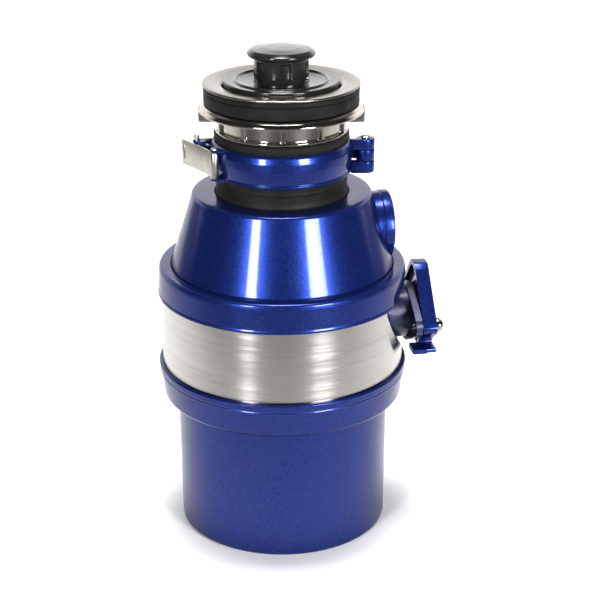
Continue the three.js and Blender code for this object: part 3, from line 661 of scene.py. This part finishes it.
def smooth_curve(half, n=64):
    """Even samples of a half outline (distance from the middle, height), smoothed."""
    pts = [Vector(p) for p in half]
    for _ in range(3):
        new = [pts[0]]
        for i in range(len(pts) - 1):
            new += [pts[i].lerp(pts[i + 1], 0.25), pts[i].lerp(pts[i + 1], 0.75)]
        new.append(pts[-1])
        pts = new
    return pts


NOTCH = smooth_curve([(70, 194), (68, 184), (62.5, 174), (56, 165), (46, 154), (32, 144), (14, 138), (0, 136.8)])
ARCH = smooth_curve([(66, 184), (66, 186.2), (60, 191.6), (48, 195.2), (28, 198.2), (0, 199.2)])


def height_at(curve, d, high):
    """Height of the curve at a distance from the middle."""
    d = abs(d)
    for a, b in zip(curve, curve[1:]):
        if (a.x - d) * (b.x - d) <= 0 and abs(a.x - b.x) > 1e-9:
            return a.y + (b.y - a.y) * (d - a.x) / (b.x - a.x)
    return high


def cutter(curve, close_z, r0=30.0, r1=130.0):
    s = [(91 * math.sin(min(p.x / 91, 1.2)), p.y) for p in curve]
    if close_z > s[0][1]:
        s = [(s[0][0], close_z)] + s
        extra = []
    else:
        s = [(s[0][0], close_z)] + s
    left = [(-y, z) for y, z in reversed(s) if y > 0.01]
    return prism("cutter", s + left, r0, r1, BL, axis="X")


def collars():
    up = lathe("upper_collar_ring", rounded([
        (91.3, 186.4), (92.8, 186.4, 0.5), (93.4, 187.0, 0.5), (93.3, 188.2, 0.6), (92.9, 189.2, 0.6), (92.3, 204.4, 1.0), (91.7, 208.5, 2.6), (86.0, 208.5), (83.6, 208.4, 0.3), (83.1, 207.6), (83.1, 204.8),
        (89.9, 204.8), (89.9, 190.4), (91.3, 190.4),
    ], 6), BL, 256)
    boolean(up, cutter(ARCH, 180), "DIFFERENCE")
    shade(up, 30)
    bevel(up, 0.35, 2, 50)
    done(up, "upper_collar")

    band = lathe("band_ring", [(90.0, 128.1), (91.0, 128.1), (91.0, 190.0), (90.0, 190.0)], BAND, 288)
    boolean(band, cutter(NOTCH, 200), "DIFFERENCE")
    shade(band, 30)
    done(band, "trim_band")

    done(lathe("lower_collar_ring", rounded([
        (80.7, 105.5), (89.3, 105.5, 0.8), (90.6, 107.2, 1.2), (92.7, 124.0, 0.4), (92.9, 124.5, 0.3), (93.6, 125.1, 0.35), (93.2, 125.9, 0.3), (93.6, 127.0, 0.5), (94.0, 131.0, 0.6), (93.3, 132.0, 0.5), (91.4, 132.0),
        (91.4, 127.7), (89.9, 127.7), (87.7, 108.4), (80.7, 108.4),
    ], 5), BL, 256), "lower_collar")


# ------------------------------------------------------------------ discharge
def ear_outline(r, rc, w=33.0, zc=161.0, n=12):
    t = math.acos((rc - r) / w)
    pts = []
    for cy, rad, a0, a1, k in ((w, r, -t, t, n), (0, rc, t, math.pi - t, n), (-w, r, math.pi - t, math.pi + t, n), (0, rc, math.pi + t, 2 * math.pi - t, n)):
        for i in range(k + 1):
            a = a0 + (a1 - a0) * i / k
            pts.append((cy + rad * math.cos(a), zc + rad * math.sin(a)))
    return pts


def discharge():
    DC = MATS["dark_casting"]
    shell = lathe("discharge_shell", rounded([
        (74.0, 127.8), (89.5, 127.8), (89.5, 131.8, 0.6), (82.0, 131.8, 1.5), (82.0, 187.0, 1.5), (89.5, 187.0, 0.6), (89.5, 195.0), (71.0, 195.0), (71.0, 192.0), (77.6, 188.4), (77.6, 144.5, 3.0),
        (17.0, 144.5), (17.0, 164.0), (12.4, 164.0), (12.4, 132.0), (17.0, 132.0), (17.0, 138.6), (78.6, 138.6), (78.6, 131.8), (74.0, 131.8),
    ], 4), DC, 176)
    neck = along_x(lathe("neck", rounded([(0, 78.5), (20.0, 78.5), (20.0, 100.0, 0.6), (0, 100.0)], 4), DC, 72), 0, 161)
    ears = prism("ears", ear_outline(8.0, 23.0), 95.0, 99.8, DC, holes=[circle(y, 161, 2.9, 24) for y in (-33, 33)], axis="X")
    boolean(shell, neck, "UNION")
    boolean(shell, ears, "UNION")
    bore = along_x(lathe("bore", [(0, 60), (16, 60), (16, 110), (0, 110)], DC, 64), 0, 161)
    boolean(shell, bore, "DIFFERENCE")
    shade(shell, 30)
    done(shell, "discharge_body")

    gasket = along_x(lathe("discharge_gasket_fine", rounded([(16.3, 100.4, 0.3), (18.6, 100.4, 0.5), (18.6, 102.8, 0.5), (16.3, 102.8, 0.3)], 4), RB, 96), 0, 161)
    done(gasket, "discharge_gasket")

    half = [(0, 40, 0), (5.4, 39.8, 3), (9.6, 36.4, 3), (38.8, 3.6, 3), (40.9, 0.6, 2), (40.9, -2.4, 2), (38.9, -5.0, 2), (26.4, -14.2, 1.5), (24.7, -16.2, 1), (26.2, -17.0, 0.8), (38.6, -17.1, 0.5), (38.8, -18.0, 0.4), (38.8, -20.6, 0.3)]
    right = rounded([(y, z + 161, r) for y, z, r in half], 5)
    outline = right + [(-y, z) for y, z in reversed(right) if y > 0.01]
    pocket = [(0, 36.8, 0), (3.8, 36.2, 3), (7.6, 33.4, 3), (36.2, 1.2, 1), (37.0, -0.6, 1), (36.4, -2.6, 1), (23.6, -12.2, 2), (21.6, -14.6, 1.5), (20.4, -18.9, 0)]
    pk = rounded([(y, z + 161, r) for y, z, r in pocket], 4)
    pk = pk + [(-y, z) for y, z in reversed(pk) if y > 0.01]
    plate = prism("discharge_plate", outline, 100.6, 111.0, BL, axis="X")
    boolean(plate, prism("pocket", pk, 99.0, 103.2, BL, axis="X"), "DIFFERENCE")
    hole = along_x(lathe("hole", [(0, 95), (16.2, 95), (16.2, 120), (0, 120)], BL, 64), 0, 161)
    boolean(plate, hole, "DIFFERENCE")
    for y in (-33, 33):
        h = along_x(lathe("hole", [(0, 95), (2.9, 95), (2.9, 120), (0, 120)], BL, 24), y, 161)
        boolean(plate, h, "DIFFERENCE")
    for sgn in (-1, 1):
        ys = sorted((sgn * 23.8, sgn * 38.8))
        shelf = prism("shelf", [(93.4, ys[0] + 0.8), (94.4, ys[0]), (104.0, ys[0]), (104.0, ys[1]), (94.4, ys[1]), (93.4, ys[1] - 0.8)], 140.4, 143.9, BL)
        boolean(plate, shelf, "UNION")
    bevel(plate, 0.8, 4, 40)
    done(plate, "discharge_flange")

    for y, node in ((-33, "discharge_bolt_front"), (33, "discharge_bolt_rear")):
        b = lathe("bolt", rounded([(0, 93.0), (2.0, 93.0), (2.5, 93.6), (2.5, 111.4), (5.6, 111.4, 0.3), (5.6, 113.6, 1.0), (4.3, 116.2, 1.4), (2.3, 116.6, 0.2), (2.2, 114.4), (0, 114.4)], 4), CH, 48)
        along_x(b, y, 161)
        b.name = node + "_fine"
        done(b, node)


# ------------------------------------------------------------------ stage
def stage():
    bpy.ops.mesh.primitive_plane_add(size=1)
    floor = bpy.context.active_object
    floor.name = "floor"
    floor.scale = (14, 14, 1)
    floor.location = (0, 0, -0.0003)
    m = Mat("floor_white")
    m.set(Roughness=0.75)
    m.b.inputs["Specular IOR Level"].default_value = 0.2
    m.to(m.ramp(m.noise(1.2, 2.0), [(0.3, (0.86, 0.86, 0.86)), (0.7, (0.89, 0.89, 0.89))]), "Base Color")
    floor.data.materials.append(m.m)

    w = bpy.data.worlds.new("studio")
    bpy.context.scene.world = w
    w.use_nodes = True
    nt = w.node_tree
    bg = nt.nodes["Background"]
    tc = nt.nodes.new("ShaderNodeTexCoord")
    rot = nt.nodes.new("ShaderNodeVectorRotate")
    rot.rotation_type = "Z_AXIS"
    rot.inputs["Angle"].default_value = -TURN
    nt.links.new(tc.outputs["Generated"], rot.inputs["Vector"])
    sep = nt.nodes.new("ShaderNodeSeparateXYZ")
    nt.links.new(rot.outputs[0], sep.inputs[0])
    def step(src, lo, hi, a, b):
        m = nt.nodes.new("ShaderNodeMapRange")
        m.interpolation_type = "SMOOTHSTEP"
        for k, v in (("From Min", lo), ("From Max", hi), ("To Min", a), ("To Max", b)):
            m.inputs[k].default_value = v
        nt.links.new(src, m.inputs["Value"])
        return m.outputs[0]

    def op(kind, a, b):
        m = nt.nodes.new("ShaderNodeMath")
        m.operation = kind
        for i, v in enumerate((a, b)):
            if isinstance(v, float):
                m.inputs[i].default_value = v
            else:
                nt.links.new(v, m.inputs[i])
        return m.outputs[0]
    # a bright wall round the back and sides, low down; a dim room above and in front
    back = step(sep.outputs["Y"], WALL_Y[0], WALL_Y[1], 0.0, 1.0)
    low = step(sep.outputs["Z"], WALL_Z[0], WALL_Z[1], 1.0, 0.12)
    nt.links.new(op("ADD", op("MULTIPLY", op("MULTIPLY", back, low), WALL), ROOM), bg.inputs["Strength"])
    bg.inputs["Color"].default_value = (1.0, 0.985, 0.965, 1.0)


WALL, ROOM = 1.9, 0.04
WALL_Y, WALL_Z = (0.22, 0.62), (0.40, 0.55)



def softbox(name, az, el, dist, sx, sy, power, target=(0, 0, 0.25), spread=180):
    """A light at an azimuth measured from the camera's side, turned to face the object."""
    a = math.radians(-90 + az) + TURN
    e = math.radians(el)
    t = Vector(target)
    pos = t + Vector((math.cos(a) * math.cos(e), math.sin(a) * math.cos(e), math.sin(e))) * dist
    l = bpy.data.lights.new(name, "AREA")
    l.shape = "RECTANGLE"
    l.size, l.size_y = sx, sy
    l.energy = power
    l.spread = math.radians(spread)
    o = bpy.data.objects.new(name, l)
    bpy.context.scene.collection.objects.link(o)
    o.location = pos
    o.rotation_euler = (t - pos).to_track_quat("-Z", "Y").to_euler()
    return o


def camera():
    c = bpy.data.cameras.new("camera")
    c.sensor_width = 36.0
    c.lens = 1599.24 / 600.0 * 36.0
    c.clip_end = 50
    o = bpy.data.objects.new("camera", c)
    bpy.context.scene.collection.objects.link(o)
    o.location = Matrix.Rotation(TURN, 4, "Z") @ Vector((0.0134, -1.1235, 0.6261))
    o.rotation_euler = (math.radians(90 - 21.836), 0, TURN)
    bpy.context.scene.camera = o


camera()
stage()
TOP = 32
softbox("key_right", 37, 12, 1.9, 0.58, 0.85, 4.5, spread=44)
softbox("key_left", -30, 12, 1.9, 0.34, 0.75, 2.5, spread=44)
top = softbox("top", 180, 89.9, 1.5, 2.6, 2.7, TOP, target=(0, 0, 0), spread=32)
top.location = Matrix.Rotation(TURN, 4, "Z") @ Vector((0, 1.20, 1.5))
top.rotation_euler = (0, 0, TURN)
bpy.context.scene.view_settings.view_transform = "Standard"
bpy.context.scene.view_settings.look = "None"

stopper()
simple_lathes()
nut()
clamp()
latch()
hopper()
collars()
discharge()

bpy.context.view_layer.update()
